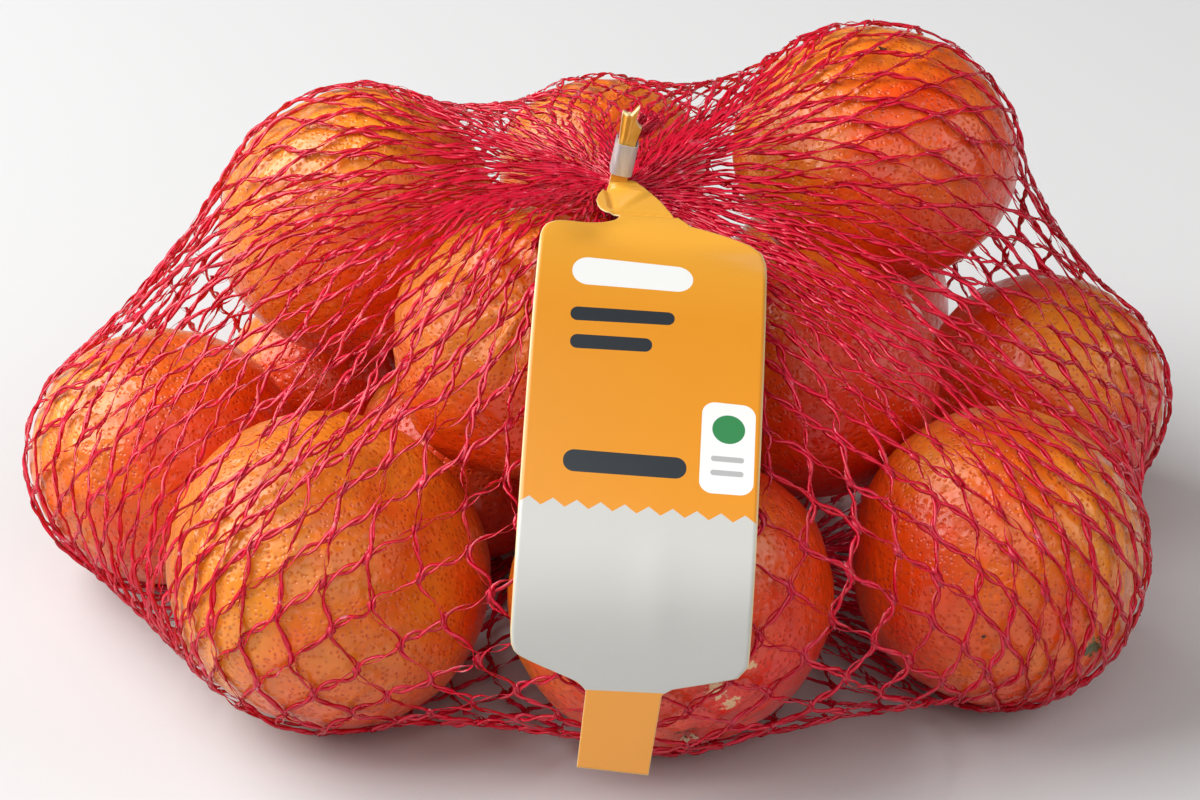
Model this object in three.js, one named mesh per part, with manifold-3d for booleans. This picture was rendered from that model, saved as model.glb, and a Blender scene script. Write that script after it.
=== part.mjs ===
// A net of mandarins: about one kilogram of fruit in a knitted red plastic tube net, gathered at the
// top in an aluminium clip that also holds a printed film label. The bag lies on a table with its
// gathered neck up and its label hanging down the front. Millimetres, +Z up, the table at Z = 0, the
// front towards -Y, and the origin on the table under the middle of the bag.
import * as THREE from "three";
import { mergeVertices } from "three/addons/utils/BufferGeometryUtils.js";
import Module from "manifold-3d";

// Driving dimensions

// Each mandarin: where its middle is, its radius round the middle, its radius along the core, and the
// way the core points. Where no height is given it stands on the table, on the net under it.
const MANDARINS = [
  { name: "front left", at: [-52.4, -50.3], girth: 31.0, core: 27.6, axis: [0.5, -0.3, 0.9] },
  { name: "front middle", at: [11.2, -61.5], girth: 30.7, core: 27.4, axis: [0.12, -0.75, -0.65] },
  { name: "front right", at: [72.8, -45.5], girth: 28.4, core: 27.6, axis: [0.9, -0.4, 0.1] },
  { name: "far left", at: [-88.4, -4.8], girth: 27.5, core: 25.5, axis: [0.15, 0.1, 0.98] },
  { name: "far right", at: [90.2, 21.6], girth: 25.7, core: 24.5, axis: [0.5, 0.5, 0.6] },
  { name: "upper middle left", at: [-15.2, -21.9, 61.4], girth: 27.2, core: 26.5, axis: [0.15, -0.75, 0.65] },
  { name: "upper middle right", at: [38.8, -11.8, 49.4], girth: 25.5, core: 24.3, axis: [0.2, 0.2, 1] },
  { name: "top left", at: [-50.8, 22.5, 65.0], girth: 28.4, core: 26.7, axis: [-0.5, 0.1, 0.9] },
  { name: "top right", at: [53.8, 31.9, 75.6], girth: 29.2, core: 24.0, axis: [0.1, -0.25, 0.95] },
  { name: "top back", at: [-1.2, 68.1, 55.8], girth: 22.8, core: 19.0, axis: [0, 0.2, 1] },
  { name: "inner left", at: [-29.4, 2.4], girth: 22.4, core: 21.6, axis: [0.3, 0.3, 1] },
  { name: "inner back", at: [10.2, 28.9], girth: 23.8, core: 22.6, axis: [0.3, 0.3, 1] },
  { name: "back right", at: [49.2, 62.9], girth: 25.8, core: 25.0, axis: [0.3, 0.3, 1] },
  { name: "back left", at: [-38.3, 67.7], girth: 26.4, core: 25.0, axis: [0.3, 0.3, 1] },
];

const NET = {
  cord: 1.2, // how far the knitted cords stand off the peel
  underFruit: 0.8, // squashed cords between the fruit and the table
  detail: 17, // how finely the loose net is divided before it is pulled tight
  looseCentre: [0.2, 4.3, 46],
  looseRadii: [136, 118, 84],
  rounds: 300, // rounds of pulling tight
  pull: 0.6, // share of the way to its neighbours' middle that a point moves in one round
  spring: 0.008, // how far the stiff cords push each point outwards in one round
  pressed: 1.5, // how far the fruit's weight presses the underside flat on the table
  pressedBelow: 8, // height up to which the net gives way to that
  sunk: 7, // how far the solid goes down into the hollows that the net spans between the fruit
  sunkFromNeck: [16, 42], // it starts to between these distances from the neck
  sunkAbove: [3, 16], // and between these heights
  fruitDetail: 6,
  evened: 0.2, // facets flatter than this are joined
  fruitAbove: 0.3, // the fruit's flattened undersides lie this far inside the net's
};

// The gathered neck: where the cords meet, how it leans, and their bundle through the clip to its tuft.
const NECK = {
  at: [1.3, -0.2, 84.0],
  leanRight: 12,
  leanBack: 3,
  reach: 19, // the tie holds the net down this far round itself
  rise: 0.2, // how steeply the net rises from it
};
const BUNDLE = {
  back: 1.15, // the bundle passes through the clip behind the label's film
  halfWidth: 1.45,
  halfDepth: 1.15,
  flareRadius: 6.0,
  flareDepth: 4.5,
  flareWaist: [2.52, 2.25], // radius and depth half way up the fan
  tuftFoot: [0.88, 1.6], // radius, and height above the clip
  tuftBelly: [1.54, 13.8],
  tuftEnd: [1.21, 15.0],
  tuftShift: [2.2, 2.4], // the cut ends lean to the right and back, clear of the film
  sides: 20,
};
const CLIP = { halfWidth: 2.15, halfDepth: 2.95, corner: 1.3, wall: 0.4, bottom: 3.4, length: 6.2 };

// The label: film, gathered in the clip, opening to a strip, a panel and a narrower tail. Distances run
// along the film from the lower edge of the clip, half widths from its middle line.
const LABEL = {
  film: 0.3,
  clear: 0.75, // between the net and the film lying on it
  end: 6.4, // length of the gathered end above the clip
  endSections: [0.55, 0.156], // where it has sections between its top and the clip, as shares of it
  endHalf: 2.3,
  gatherHalf: 1.45,
  gatherThick: 1.7,
  gatherFront: -1.35,
  gatherThins: 5.0, // length over which the gathers thin out to a single film
  drop: 2.0, // the film leaves the clip downwards for this far before it turns to the front
  strip: 22.5, // where the strip ends and the panel's shoulders start
  stripHalf: 6.8,
  stripOpen: 9.0, // length over which the gathered film opens to its full width
  leftShoulder: 4.5,
  rightShoulder: 9.5,
  panelHalf: 20.8,
  panelEnd: 109.5,
  lowerShoulder: 7.5,
  tailHalf: 6.3,
  middle: [
    [0, 2.0],
    [0.16, 8.2],
    [0.83, 3.2],
    [1, 0.4],
  ], // sideways place of its middle line, by share of its length
  tailEnd: [-94.9, 16.2], // forward place and height of its lower end
};

// How the label is laid: rows of film that are pulled tight between the clip and the tail end.
const LAYING = {
  rows: 44,
  rounds: 1500,
  firstLift: 60, // how far the rows start off the net
  pull: 0.9,
  untwist: 0.5,
  sideReach: 32, // the net further than this from the clip sideways can't touch the label
  probes: 4, // places tested on each side of a row's middle
  pushEvery: 3, // rounds of pulling to one of pushing off the net
  push: 0.6,
  pushTwist: 0.4,
  leastFacing: 0.3, // where the net slopes away from the film, it still pushes this much
  fineStep: 1.2, // between the film's sections where its outline curves
  longStep: 3.2,
  columns: 8,
};

// Finishes
const FINISH = {
  net: { color: 0xc41336, roughness: 0.35, metalness: 0 },
  clip: { color: 0xb4b8ba, roughness: 0.35, metalness: 1 },
  label: { color: 0xeda133, roughness: 0.45, metalness: 0 },
};

const UP = new THREE.Vector3(0, 0, 1);
const ACROSS = new THREE.Vector3(1, 0, 0);

const wasm = await Module();
wasm.setup();

// A closed geometry as a solid that can be joined, and a solid as a geometry again.
function toSolid(geometry) {
  const bare = geometry.clone();
  bare.deleteAttribute("normal");
  bare.deleteAttribute("uv");
  const merged = mergeVertices(bare, 1e-4);
  const vertProperties = new Float32Array(merged.attributes.position.array);
  const triVerts = new Uint32Array(merged.index.array);
  return new wasm.Manifold(new wasm.Mesh({ numProp: 3, vertProperties, triVerts }));
}

function toGeometry(solid) {
  const mesh = solid.getMesh();
  return new THREE.BufferGeometry()
    .setAttribute("position", new THREE.BufferAttribute(mesh.vertProperties, 3))
    .setIndex(new THREE.BufferAttribute(mesh.triVerts, 1));
}

// A mandarin with its skin of cords, as the matrices between it and a ball of radius 1.
function wrappedMandarin({ at, girth, core, axis }) {
  const along = new THREE.Vector3(...axis).normalize();
  const turn = new THREE.Quaternion().setFromUnitVectors(UP, along);
  const halfHeight = Math.hypot(girth * Math.hypot(along.x, along.y), core * along.z);
  const middle = new THREE.Vector3(at[0], at[1], at[2] ?? NET.underFruit + halfHeight);
  const radii = new THREE.Vector3(girth + NET.cord, girth + NET.cord, core + NET.cord);
  const fromBall = new THREE.Matrix4().compose(middle, turn, radii);
  return { fromBall, toBall: fromBall.clone().invert() };
}

// The mandarins as solids, flattened where they press on the table.
function fruitSolids() {
  return MANDARINS.map((mandarin) => {
    const ball = new THREE.IcosahedronGeometry(1, NET.fruitDetail);
    ball.applyMatrix4(wrappedMandarin(mandarin).fromBall);
    const place = ball.attributes.position;
    for (let i = 0; i < place.count; i += 1) place.setZ(i, Math.max(place.getZ(i), NET.fruitAbove));
    return toSolid(ball);
  });
}

// The net is one skin round the whole pile. It starts as a loose balloon tied at the neck, and each
// round pulls every point towards its neighbours, out of the fruit and onto the table.
function pullNetTight() {
  const ball = new THREE.IcosahedronGeometry(1, NET.detail);
  ball.deleteAttribute("normal");
  ball.deleteAttribute("uv");
  const skin = mergeVertices(ball, 1e-5);
  const points = [];
  const neighbours = [];
  const centre = new THREE.Vector3(...NET.looseCentre);
  const radii = new THREE.Vector3(...NET.looseRadii);
  for (let i = 0; i < skin.attributes.position.count; i += 1) {
    points.push(new THREE.Vector3().fromBufferAttribute(skin.attributes.position, i).multiply(radii).add(centre));
    neighbours.push(new Set());
  }
  const corners = skin.index.array;
  for (let i = 0; i < corners.length; i += 3) {
    for (let k = 0; k < 3; k += 1) {
      neighbours[corners[i + k]].add(corners[i + ((k + 1) % 3)]).add(corners[i + ((k + 2) % 3)]);
    }
  }
  const neck = new THREE.Vector3(...NECK.at);
  const sideways = (p) => Math.hypot(p.x - neck.x, p.y - neck.y) + Math.abs(Math.min(p.z - centre.z, 0));
  const tied = points.reduce((best, p, i) => (sideways(p) < sideways(points[best]) ? i : best), 0);
  const fruit = MANDARINS.map(wrappedMandarin);
  const middle = new THREE.Vector3();
  const outwards = new THREE.Vector3();
  const inBall = new THREE.Vector3();
  for (let round = 0; round < NET.rounds; round += 1) {
    points.forEach((point, i) => {
      middle.set(0, 0, 0);
      neighbours[i].forEach((j) => middle.add(points[j]));
      point.lerp(middle.divideScalar(neighbours[i].size), NET.pull);
      point.addScaledVector(outwards.copy(point).sub(centre).normalize(), NET.spring);
      for (const { fromBall, toBall } of fruit) {
        inBall.copy(point).applyMatrix4(toBall);
        const depth = inBall.length();
        if (depth < 1) point.copy(inBall.divideScalar(depth)).applyMatrix4(fromBall);
      }
      const fromNeck = Math.hypot(point.x - neck.x, point.y - neck.y);
      if (fromNeck < NECK.reach && point.z > centre.z) {
        point.z = Math.min(point.z, neck.z + NECK.rise * fromNeck);
      }
      point.z = Math.max(point.z, 0);
    });
    points[tied].copy(neck);
  }
  const give = NET.pressedBelow / (NET.pressedBelow - NET.pressed);
  points.forEach((p, i) => {
    const z = p.z < NET.pressedBelow ? Math.max(p.z - NET.pressed, 0) * give : p.z;
    skin.attributes.position.setXYZ(i, p.x, p.y, z);
  });
  skin.computeVertexNormals();
  return skin;
}

// The pile inside the net: the skin, drawn down between the fruit, and the fruit that stand out of it.
function filledNet(skin) {
  const sunk = skin.clone();
  const place = sunk.attributes.position;
  const neck = new THREE.Vector3(...NECK.at);
  const at = new THREE.Vector3();
  const out = new THREE.Vector3();
  const { smoothstep } = THREE.MathUtils;
  for (let i = 0; i < place.count; i += 1) {
    at.fromBufferAttribute(place, i);
    out.fromBufferAttribute(skin.attributes.normal, i);
    const share = smoothstep(at.distanceTo(neck), ...NET.sunkFromNeck) * smoothstep(at.z, ...NET.sunkAbove);
    at.addScaledVector(out, -NET.sunk * share);
    place.setXYZ(i, at.x, at.y, at.z);
  }
  return wasm.Manifold.union([toSolid(sunk), ...fruitSolids()]).simplify(NET.evened);
}

// The throat is the neck's own frame: the clip, the bundle and the film through it all stand in it.
const throat = new THREE.Group();
throat.position.set(...NECK.at);
throat.rotation.set(-THREE.MathUtils.degToRad(NECK.leanBack), THREE.MathUtils.degToRad(NECK.leanRight), 0);
throat.updateMatrix();

// The gathered cords: a fan that rises out of the net, the bundle through the clip, and the cut tuft.
function gatheredCords() {
  const clipTop = CLIP.bottom + CLIP.length;
  const [waist, waistDepth] = BUNDLE.flareWaist;
  const [foot, footRise] = BUNDLE.tuftFoot;
  const tuftTop = BUNDLE.tuftEnd[1];
  const profile = [
    [0, -BUNDLE.flareDepth],
    [BUNDLE.flareRadius, -BUNDLE.flareDepth],
    [waist, -waistDepth],
    [1, 0],
    [1, CLIP.bottom],
    [1, clipTop],
    [foot, clipTop + footRise],
    BUNDLE.tuftBelly,
    BUNDLE.tuftEnd,
    [0, tuftTop],
  ].map(([radius, height]) => new THREE.Vector2(radius, height));
  const cords = new THREE.LatheGeometry(profile, BUNDLE.sides);
  cords.rotateX(Math.PI / 2);
  const place = cords.attributes.position;
  const { lerp, smoothstep } = THREE.MathUtils;
  const [tuftRight, tuftBack] = BUNDLE.tuftShift;
  for (let i = 0; i < place.count; i += 1) {
    const inClip = smoothstep(place.getZ(i), -waistDepth, 0);
    const inTuft = smoothstep(place.getZ(i), clipTop, tuftTop);
    place.setX(i, place.getX(i) * lerp(1, BUNDLE.halfWidth, inClip) + tuftRight * inTuft);
    const back = BUNDLE.back * inClip + tuftBack * inTuft;
    place.setY(i, place.getY(i) * lerp(1, BUNDLE.halfDepth, inClip) + back);
  }
  return cords.applyMatrix4(throat.matrix);
}

// The clip: a strip of aluminium crimped into a flattened ring round the cords and the film.
function roundedOval(halfWidth, halfDepth, corner) {
  const outline = new THREE.Shape();
  outline.moveTo(halfWidth, halfDepth - corner);
  outline.absarc(halfWidth - corner, halfDepth - corner, corner, 0, Math.PI / 2);
  outline.absarc(corner - halfWidth, halfDepth - corner, corner, Math.PI / 2, Math.PI);
  outline.absarc(corner - halfWidth, corner - halfDepth, corner, Math.PI, Math.PI * 1.5);
  outline.absarc(halfWidth - corner, corner - halfDepth, corner, Math.PI * 1.5, Math.PI * 2);
  outline.closePath();
  return outline;
}

function clipRing() {
  const ring = roundedOval(CLIP.halfWidth, CLIP.halfDepth, CLIP.corner);
  ring.holes.push(
    roundedOval(CLIP.halfWidth - CLIP.wall, CLIP.halfDepth - CLIP.wall, CLIP.corner - CLIP.wall),
  );
  const band = new THREE.ExtrudeGeometry(ring, { depth: CLIP.length, bevelEnabled: false, curveSegments: 4 });
  return band.translate(0, 0, CLIP.bottom);
}

// The label's half width on either side of its middle line, by distance from the clip.
function labelHalf(distance, side) {
  const { strip, stripHalf, panelHalf, panelEnd, tailHalf } = LABEL;
  const shoulder = side < 0 ? LABEL.leftShoulder : LABEL.rightShoulder;
  const ease = THREE.MathUtils.smoothstep;
  let half = THREE.MathUtils.lerp(LABEL.gatherHalf, stripHalf, ease(distance, 0, LABEL.stripOpen));
  half += (panelHalf - stripHalf) * ease(distance, strip, strip + shoulder);
  half -= (panelHalf - tailHalf) * ease(distance, panelEnd, panelEnd + LABEL.lowerShoulder);
  return half;
}

// Sideways place of the label's middle line.
function labelMiddle(share) {
  const stops = LABEL.middle;
  const next = Math.max(stops.findIndex(([at]) => at >= share), 1);
  const [from, start] = stops[next - 1];
  const [to, finish] = stops[next];
  return THREE.MathUtils.mapLinear(share, from, to, start, finish);
}

// The film is pulled tight from the clip to its tail end, straight across its width, over the net.
// A row is its middle, and how far the film twists there.
function layLabel(net) {
  const rowCount = LAYING.rows;
  const start = new THREE.Vector3(0, LABEL.gatherFront, CLIP.bottom - LABEL.drop).applyMatrix4(throat.matrix);
  const [endY, endZ] = LABEL.tailEnd;
  const rows = [];
  for (let i = 0; i <= rowCount; i += 1) {
    const share = i / rowCount;
    const lift = LAYING.firstLift * Math.sin(Math.PI * share);
    const y = THREE.MathUtils.lerp(start.y, endY, share) - lift;
    const z = THREE.MathUtils.lerp(start.z, endZ, share) + lift;
    const x = i === 0 ? start.x : labelMiddle(share);
    rows.push({ at: new THREE.Vector3(x, y, z), twist: 0, distance: 0 });
  }
  const front = [];
  const { position, normal } = net.attributes;
  for (let i = 0; i < position.count; i += 1) {
    const at = new THREE.Vector3().fromBufferAttribute(position, i);
    if (Math.abs(at.x - start.x) < LAYING.sideReach && at.y < start.y) {
      front.push({ at, out: new THREE.Vector3().fromBufferAttribute(normal, i) });
    }
  }
  const probe = new THREE.Vector3();
  for (let round = 0; round < LAYING.rounds; round += 1) {
    for (let i = 1; i < rowCount; i += 1) {
      const row = rows[i];
      const mean = rows[i - 1].at.clone().add(rows[i + 1].at).multiplyScalar(0.5);
      row.at.y = THREE.MathUtils.lerp(row.at.y, mean.y, LAYING.pull);
      row.at.z = THREE.MathUtils.lerp(row.at.z, mean.z, LAYING.pull);
      const meanTwist = (rows[i - 1].twist + rows[i + 1].twist) / 2;
      row.twist = THREE.MathUtils.lerp(row.twist, meanTwist, LAYING.untwist);
      row.distance = rows[i - 1].distance + row.at.distanceTo(rows[i - 1].at);
      if (round % LAYING.pushEvery === 0) {
        const { across, out } = rowFrame(rows, i);
        for (let step = -LAYING.probes; step <= LAYING.probes; step += 1) {
          const offset = (step / LAYING.probes) * labelHalf(row.distance, step);
          probe.copy(row.at).addScaledVector(across, offset);
          let nearest = front[0];
          for (const place of front) {
            if (place.at.distanceToSquared(probe) < nearest.at.distanceToSquared(probe)) nearest = place;
          }
          const lack = LABEL.clear + LABEL.film / 2 - probe.sub(nearest.at).dot(nearest.out);
          if (lack > 0) {
            const push = lack * Math.max(nearest.out.dot(out), LAYING.leastFacing);
            row.at.addScaledVector(out, push * LAYING.push);
            row.twist += (push * offset * LAYING.pushTwist) / LABEL.panelHalf ** 2;
          }
        }
        row.at.x = labelMiddle(i / rowCount);
      }
    }
  }
  rows[rowCount].distance = rows[rowCount - 1].distance + rows[rowCount].at.distanceTo(rows[rowCount - 1].at);
  return rows;
}

// The film's directions at a row: along it, across it and out of it, turned by its twist.
function rowFrame(rows, i) {
  const before = rows[Math.max(i - 1, 0)].at;
  const after = rows[Math.min(i + 1, rows.length - 1)].at;
  const along = after.clone().sub(before).normalize();
  const across = ACROSS.clone().addScaledVector(along, -ACROSS.dot(along)).normalize();
  const out = across.clone().cross(along).negate();
  const turned = across.clone().addScaledVector(out, rows[i].twist).normalize();
  return { along, across: turned, out: turned.clone().cross(along).negate() };
}

// A row of the film at any distance from the clip, between two rows of the laid film.
function filmAt(rows, distance) {
  const beyond = rows.findIndex((row) => row.distance > distance);
  const i = beyond < 0 ? rows.length - 2 : Math.max(beyond - 1, 0);
  const share = (distance - rows[i].distance) / (rows[i + 1].distance - rows[i].distance);
  const a = rowFrame(rows, i);
  const b = rowFrame(rows, i + 1);
  return {
    at: rows[i].at.clone().lerp(rows[i + 1].at, share),
    across: a.across.lerp(b.across, share).normalize(),
    out: a.out.lerp(b.out, share).normalize(),
  };
}

// A closed sheet from rows of points on its two faces.
function closedSheet(frontRows, backRows) {
  const columns = frontRows[0].length;
  const rowCount = frontRows.length;
  const flat = [...frontRows, ...backRows].flat();
  const faces = [];
  const quad = (a, b, c, d) => faces.push(a, b, c, a, c, d);
  const frontIndex = (row, column) => row * columns + column;
  const backIndex = (row, column) => (rowCount + row) * columns + column;
  for (let row = 0; row + 1 < rowCount; row += 1) {
    for (let column = 0; column + 1 < columns; column += 1) {
      const corners = [
        [row, column],
        [row + 1, column],
        [row + 1, column + 1],
        [row, column + 1],
      ];
      quad(...corners.map(([r, c]) => frontIndex(r, c)));
      quad(...corners.map(([r, c]) => backIndex(r, c)).reverse());
    }
    const last = columns - 1;
    quad(frontIndex(row, 0), backIndex(row, 0), backIndex(row + 1, 0), frontIndex(row + 1, 0));
    quad(frontIndex(row + 1, last), backIndex(row + 1, last), backIndex(row, last), frontIndex(row, last));
  }
  for (let column = 0; column + 1 < columns; column += 1) {
    const end = rowCount - 1;
    quad(frontIndex(0, column + 1), backIndex(0, column + 1), backIndex(0, column), frontIndex(0, column));
    quad(frontIndex(end, column), backIndex(end, column), backIndex(end, column + 1), frontIndex(end, column + 1));
  }
  const positions = new Float32Array(flat.flatMap((p) => p.toArray()));
  return new THREE.BufferGeometry()
    .setAttribute("position", new THREE.BufferAttribute(positions, 3))
    .setIndex(faces);
}

function labelFilm(net) {
  const laid = layLabel(net);
  const total = laid[laid.length - 1].distance;
  const stations = [];
  const clipTop = LABEL.drop + CLIP.length;
  const gathered = clipTop + LABEL.end;
  const between = LABEL.endSections.map((share) => clipTop + LABEL.end * share);
  for (const height of [gathered, ...between, clipTop, LABEL.drop, 0]) {
    stations.push(-height);
  }
  const { fineStep, longStep, columns } = LAYING;
  for (let distance = fineStep; distance < total - fineStep / 2; ) {
    stations.push(distance);
    const upper = distance < LABEL.strip + LABEL.rightShoulder;
    const lower = distance > LABEL.panelEnd - longStep && distance < LABEL.panelEnd + LABEL.lowerShoulder;
    distance += upper || lower ? fineStep : longStep;
  }
  stations.push(total);
  const frontRows = [];
  const backRows = [];
  const { smoothstep, lerp } = THREE.MathUtils;
  for (const distance of stations) {
    const inThroat = distance <= 0;
    const above = smoothstep(-distance, clipTop, gathered);
    const frame = inThroat
      ? {
          at: new THREE.Vector3(0, LABEL.gatherFront, CLIP.bottom - LABEL.drop - distance).applyMatrix4(
            throat.matrix,
          ),
          across: ACROSS.clone().transformDirection(throat.matrix),
          out: new THREE.Vector3(0, -1, 0).transformDirection(throat.matrix),
        }
      : filmAt(laid, distance);
    const thinned = THREE.MathUtils.clamp((distance + LABEL.drop) / LABEL.gatherThins, 0, 1);
    const thick = lerp(LABEL.gatherThick, LABEL.film, thinned) / 2;
    const front = [];
    const back = [];
    for (let column = 0; column <= columns; column += 1) {
      const share = (column / columns) * 2 - 1;
      const half = inThroat ? lerp(LABEL.gatherHalf, LABEL.endHalf, above) : labelHalf(distance, share);
      const middle = frame.at.clone().addScaledVector(frame.across, share * half);
      front.push(middle.clone().addScaledVector(frame.out, thick));
      back.push(middle.clone().addScaledVector(frame.out, -thick));
    }
    frontRows.push(front);
    backRows.push(back);
  }
  return closedSheet(frontRows, backRows);
}

function piece(name, geometry) {
  const mesh = new THREE.Mesh(geometry, new THREE.MeshStandardMaterial(FINISH[name]));
  mesh.name = name;
  return mesh;
}

const net = pullNetTight();
const netAndNeck = toGeometry(filledNet(net).add(toSolid(gatheredCords())));
throat.add(piece("clip", clipRing()));

const bag = new THREE.Group();
bag.name = "net_of_mandarins";
bag.add(piece("net", netAndNeck), piece("label", labelFilm(net)), throat);

// The bag's own frame has its origin under the middle of its outline.
const outline = new THREE.Box3().setFromObject(bag);
const middle = outline.getCenter(new THREE.Vector3());
bag.position.set(-middle.x, -middle.y, -outline.min.z);

export default bag;
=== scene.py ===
import math

import bmesh
import bpy
import numpy as np
from mathutils import Matrix, Vector, noise
from mathutils.bvhtree import BVHTree


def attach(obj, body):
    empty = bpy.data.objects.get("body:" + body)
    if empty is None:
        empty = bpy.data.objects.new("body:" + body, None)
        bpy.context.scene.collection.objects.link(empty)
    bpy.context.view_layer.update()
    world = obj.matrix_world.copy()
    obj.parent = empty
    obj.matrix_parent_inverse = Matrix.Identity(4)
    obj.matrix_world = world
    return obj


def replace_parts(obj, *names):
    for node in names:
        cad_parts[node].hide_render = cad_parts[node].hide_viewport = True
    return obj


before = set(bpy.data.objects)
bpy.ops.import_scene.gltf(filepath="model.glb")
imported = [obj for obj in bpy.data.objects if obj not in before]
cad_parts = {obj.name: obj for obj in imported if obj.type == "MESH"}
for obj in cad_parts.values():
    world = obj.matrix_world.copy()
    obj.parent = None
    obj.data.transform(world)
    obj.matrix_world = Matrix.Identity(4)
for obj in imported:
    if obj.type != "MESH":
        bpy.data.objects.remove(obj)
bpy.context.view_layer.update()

# Mandarins: fifteen loose fruit in the net, five of them on the table in front and at the sides,
# the rest stacked on and behind those. Each is a flattened ball of waxed peel with a dimple where
# the stem was, uneven lumps and fine oil pores. They only lie there; the net holds them together.
MM = 0.001
# peel tones: random blotches move between them, and painted light pushes each fruit towards yellow on its
# lit side and towards red in painted shade
PEEL_ORANGE = (0.90, 0.085, 0.003)
PEEL_YELLOW = (0.93, 0.28, 0.014)
PEEL_RED = (0.84, 0.018, 0.001)
PORE_RED = (0.58, 0.022, 0.002)
UNDER_FRUIT = 0.8
# centre (height missing: stands on the table), largest radius, half height along the core,
# direction of the core, share of yellow in the peel, lumps in mm
MANDARINS = {
    "front_left": ((-52.4, -50.3), 31.0, 27.6, (0.5, -0.3, 0.9), 0.85, 0.55),
    "front_middle": ((11.2, -61.5), 30.7, 27.4, (0.12, -0.75, -0.65), 0.25, 0.7),
    "front_right": ((72.8, -45.5), 28.4, 27.6, (0.9, -0.4, 0.1), 0.35, 0.5),
    "far_left": ((-88.4, -4.8), 27.5, 25.5, (0.15, 0.1, 0.98), 0.3, 0.6),
    "far_right": ((90.2, 21.6), 25.7, 24.5, (0.5, 0.5, 0.6), 0.1, 0.6),
    "upper_middle_left": ((-15.2, -21.9, 61.4), 27.2, 26.5, (0.05, -0.66, 0.75), 0.4, 1.3),
    "upper_middle_right": ((38.8, -11.8, 49.4), 25.5, 24.3, (0.2, 0.2, 1.0), 0.05, 0.6),
    "top_left": ((-50.8, 22.5, 65.0), 28.4, 26.7, (-0.5, 0.1, 0.9), 0.85, 0.7),
    "top_right": ((53.8, 31.9, 75.6), 29.2, 24.0, (0.1, -0.25, 0.95), 0.55, 0.6),
    "top_back": ((-1.2, 68.1, 55.8), 22.8, 19.0, (0.0, 0.2, 1.0), 0.6, 0.6),
    "inner_left": ((-29.4, 2.4), 22.4, 21.6, (0.3, 0.3, 1.0), 0.0, 0.5),
    "inner_far_left": ((-63.0, 33.0), 19.5, 16.0, (0.6, 0.8, 0.05), 0.0, 0.4),
    "inner_back": ((10.2, 28.9), 23.8, 22.6, (0.3, 0.3, 1.0), 0.0, 0.5),
    "back_right": ((49.2, 62.9), 25.8, 25.0, (0.3, 0.3, 1.0), 0.2, 0.5),
    "back_left": ((-38.3, 67.7), 26.4, 25.0, (0.3, 0.3, 1.0), 0.4, 0.5),
}
# painted light: the side facing this way is painted yellower, as if lit, and the other side redder, as
# painted shade
PAINTED_LIGHT_WAY = (-0.71, 0.35, 0.61)
PAINTED_LIGHT_WAY_OF = {"front_right": (0.75, 0.15, 0.65), "far_right": (0.9, -0.1, 0.4)}
SCAR, ROT, SCRAPED = (0.045, 0.025, 0.012), (0.06, 0.075, 0.012), (0.80, 0.47, 0.24)
# marks on the peel: place, radius in mm, colour
MARKS = {
    "far_left": (((-80.5, -6.7, 50.6), 0.8, SCAR),),
    "top_right": (((54.6, 31.2, 99.8), 0.9, SCAR),),
    "front_middle": (
        ((13.8, -83.6, 14.2), 1.7, SCAR), ((18.3, -89.3, 30.0), 1.7, SCRAPED),
        ((19.3, -88.6, 27.6), 1.2, SCRAPED), ((20.8, -87.5, 24.9), 1.6, SCRAPED),
        ((25.0, -85.8, 33.0), 1.0, SCRAPED),
    ),
    "front_right": (((88.8, -67.6, 23.5), 2.4, ROT), ((66.8, -73.2, 29.6), 0.6, SCAR)),
}


def link(graph, pairs):
    for source, target in pairs:
        graph.links.new(source, target)


def new_material(name):
    material = bpy.data.materials.new(name)
    material.use_nodes = True
    graph = material.node_tree
    return material, graph, graph.nodes["Principled BSDF"]


def node(graph, kind, **settings):
    made = graph.nodes.new(kind)
    for key, value in settings.items():
        if key.startswith("in_"):
            made.inputs[key[3:].replace("_", " ")].default_value = value
        else:
            setattr(made, key, value)
    return made


def ramp(graph, source, stops):
    made = graph.nodes.new("ShaderNodeValToRGB")
    elements = made.color_ramp.elements
    while len(elements) < len(stops):
        elements.new(0.5)
    for element, (place, colour) in zip(elements, stops):
        element.position = place
        element.color = (*colour, 1)
    graph.links.new(source, made.inputs["Fac"])
    return made.outputs["Color"]


def mix(graph, factor, a, b, blend="MIX"):
    made = graph.nodes.new("ShaderNodeMix")
    made.data_type = "RGBA"
    made.blend_type = blend
    for socket, value in ((made.inputs[0], factor), (made.inputs[6], a), (made.inputs[7], b)):
        if hasattr(value, "is_output"):
            graph.links.new(value, socket)
        elif isinstance(value, (int, float)):
            socket.default_value = value
        else:
            socket.default_value = (*value, 1)
    return made.outputs[2]


def grey(value):
    return (value, value, value)


# how far the tone runs from orange to red and to yellow, how ragged a mark is and where it fades,
# both in its own radii
TO_RED, TO_YELLOW = 0.28, 0.3
RAGGED, MARK_FADE = 3.6, (2.8, 2.5)


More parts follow.
